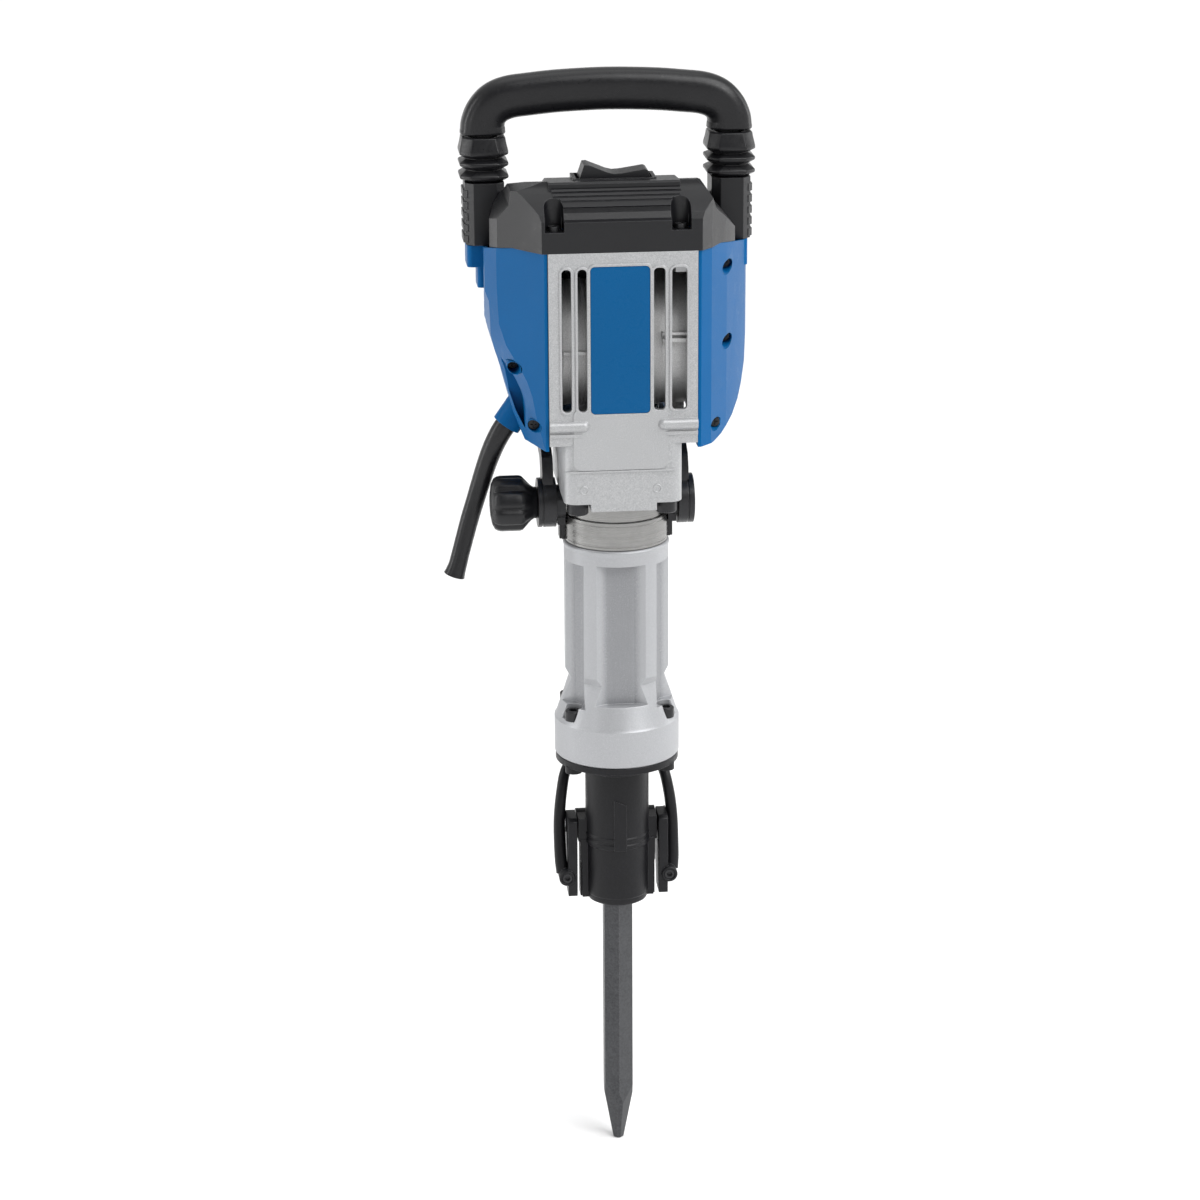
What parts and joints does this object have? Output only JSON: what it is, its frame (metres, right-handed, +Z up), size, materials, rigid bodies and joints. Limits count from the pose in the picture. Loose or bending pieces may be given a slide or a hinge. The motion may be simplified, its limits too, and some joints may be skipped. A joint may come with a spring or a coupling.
{
  "type": "electric jackhammer",
  "caption": "Upright electric demolition hammer: looped top grip, motor body with grille, fluted barrel, hex chisel with swing retainer, folding side handle; crank, piston and gears inside.",
  "frame": {"origin": "centre of the tool socket's mouth, on the hammer axis", "axes": "+Z up along the hammer axis towards the grip, -Y towards the front grille, +X to the viewer's right from the front"},
  "size_m": [0.3107, 0.2772, 1.094],
  "materials": {
    "silver_cast": "sand-cast, satin",
    "barrel_cast": "sand-cast, painted satin",
    "blue_shell": "fine-grained moulded nylon",
    "blue_badge": "satin",
    "black_plastic": "fine-grained moulded nylon",
    "black_rubber": "satin rubber",
    "black_steel": "black oxide and paint",
    "black_cast": "black coated casting",
    "turned_steel": "turned",
    "forged_steel": "forged, dark grey",
    "machined_steel": "ground",
    "gear_steel": "hobbed",
    "spring_steel": "oiled",
    "bronze": "turned",
    "copper": "turned copper",
    "lamination": "stacked sheet",
    "winding": "varnished",
    "carbon": "graphite",
    "inner_cast": "die-cast"
  },
  "bodies": {
    "housing": {"front_housing": "silver_cast", "badge_plate": "blue_badge", "top_cap": "black_plastic", "left_shell": "blue_shell", "right_shell": "blue_shell", "shell_screws": "black_steel", "cap_screws": "black_steel", "handle_post_left": "black_plastic", "handle_post_right": "black_plastic", "switch_box": "black_plastic", "crankcase": "inner_cast", "crankcase_cover": "inner_cast", "gear_plate": "inner_cast", "gear_cover": "inner_cast", "cylinder_liner": "machined_steel", "steel_collar": "turned_steel", "barrel": "barrel_cast", "flange_bolts": "black_steel", "housing_bolts": "black_steel", "nose_gasket": "black_rubber", "front_cover": "black_cast", "anvil_guide": "bronze", "damper_ring": "black_rubber", "stator_core": "lamination", "field_coils": "winding", "motor_bracket": "black_plastic", "brush_holders": "bronze", "ball_bearings": "machined_steel", "cord_gland": "black_plastic", "cord_guard": "black_rubber", "handle_clamp": "black_steel", "clamp_bolt": "turned_steel"},
    "top_handle": {"handle_core": "black_steel", "handle_grip": "black_rubber", "bellows_left": "black_rubber", "bellows_right": "black_rubber", "handle_springs": "spring_steel"},
    "switch": {"rocker_switch": "black_plastic"},
    "aux_handle": {"aux_frame": "black_steel", "aux_grip": "black_rubber"},
    "knob": {"clamp_knob": "black_plastic"},
    "armature": {"armature_shaft": "machined_steel", "armature_core": "lamination", "commutator": "copper", "cooling_fan": "black_plastic"},
    "lay_gear": {"layshaft": "machined_steel", "layshaft_gear": "gear_steel"},
    "crank": {"crankshaft": "machined_steel", "crank_gear": "gear_steel"},
    "piston_rod": {"piston": "machined_steel", "wrist_pin": "machined_steel", "connecting_rod": "machined_steel"},
    "ram": {"striker": "machined_steel"},
    "anvil": {"impact_bolt": "machined_steel"},
    "bit": {"chisel": "forged_steel"},
    "retainer": {"retainer_shaft": "machined_steel", "retainer_lever": "black_cast", "retainer_screws": "black_steel"},
    "brush_front": {"carbon_brush_front": "carbon"},
    "brush_rear": {"carbon_brush_rear": "carbon"}
  },
  "joints": [
    {"name": "handle_float", "type": "slide", "parent": "housing", "child": "top_handle", "axis": [0, 0, 1], "range_m": [-0.012, 0.004], "stiffness_N_per_m": 9000, "deforming": ["bellows_left", "bellows_right", "handle_springs"]},
    {"name": "rocker_tilt", "type": "hinge", "parent": "housing", "child": "switch", "pos_m": [-0.003, -0.014, 0.7285], "axis": [0, -1, 0], "range_deg": [0, 12]},
    {"name": "aux_handle_pivot", "type": "hinge", "parent": "housing", "child": "aux_handle", "pos_m": [0, 0, 0.4157], "axis": [-1, 0, 0], "range_deg": [0, 80]},
    {"name": "knob_turn", "type": "hinge", "parent": "housing", "child": "knob", "pos_m": [-0.1, 0, 0.4157], "axis": [-1, 0, 0], "range_deg": [0, 360]},
    {"name": "armature_spin", "type": "hinge", "parent": "housing", "child": "armature", "pos_m": [0, 0.102, 0.6], "axis": [1, 0, 0], "continuous": true},
    {"name": "layshaft_spin", "type": "hinge", "parent": "housing", "child": "lay_gear", "pos_m": [0, 0.06011, 0.59697], "axis": [1, 0, 0], "continuous": true},
    {"name": "crank_spin", "type": "hinge", "parent": "housing", "child": "crank", "pos_m": [0, 0, 0.575], "axis": [1, 0, 0], "continuous": true},
    {"name": "piston_stroke", "type": "slide", "parent": "housing", "child": "piston_rod", "axis": [0, 0, 1], "range_m": [0, 0.036]},
    {"name": "ram_stroke", "type": "slide", "parent": "housing", "child": "ram", "axis": [0, 0, 1], "range_m": [0, 0.06]},
    {"name": "anvil_lift", "type": "slide", "parent": "housing", "child": "anvil", "axis": [0, 0, 1], "range_m": [0, 0.014]},
    {"name": "bit_lift", "type": "slide", "parent": "housing", "child": "bit", "axis": [0, 0, 1], "range_m": [0, 0.015]},
    {"name": "retainer_swing", "type": "hinge", "parent": "housing", "child": "retainer", "pos_m": [0, 0.02, 0.075], "axis": [-1, 0, 0], "range_deg": [0, 100]},
    {"name": "brush_front_slide", "type": "slide", "parent": "housing", "child": "brush_front", "axis": [0, -1, 0], "range_m": [0, 0.006], "stiffness_N_per_m": 150, "springref_m": -0.01},
    {"name": "brush_rear_slide", "type": "slide", "parent": "housing", "child": "brush_rear", "axis": [0, 1, 0], "range_m": [0, 0.006], "stiffness_N_per_m": 150, "springref_m": -0.01}
  ],
  "couplings": [
    {"joint": "layshaft_spin", "follows": "armature_spin", "ratio": -0.4},
    {"joint": "crank_spin", "follows": "armature_spin", "ratio": 0.112}
  ]
}
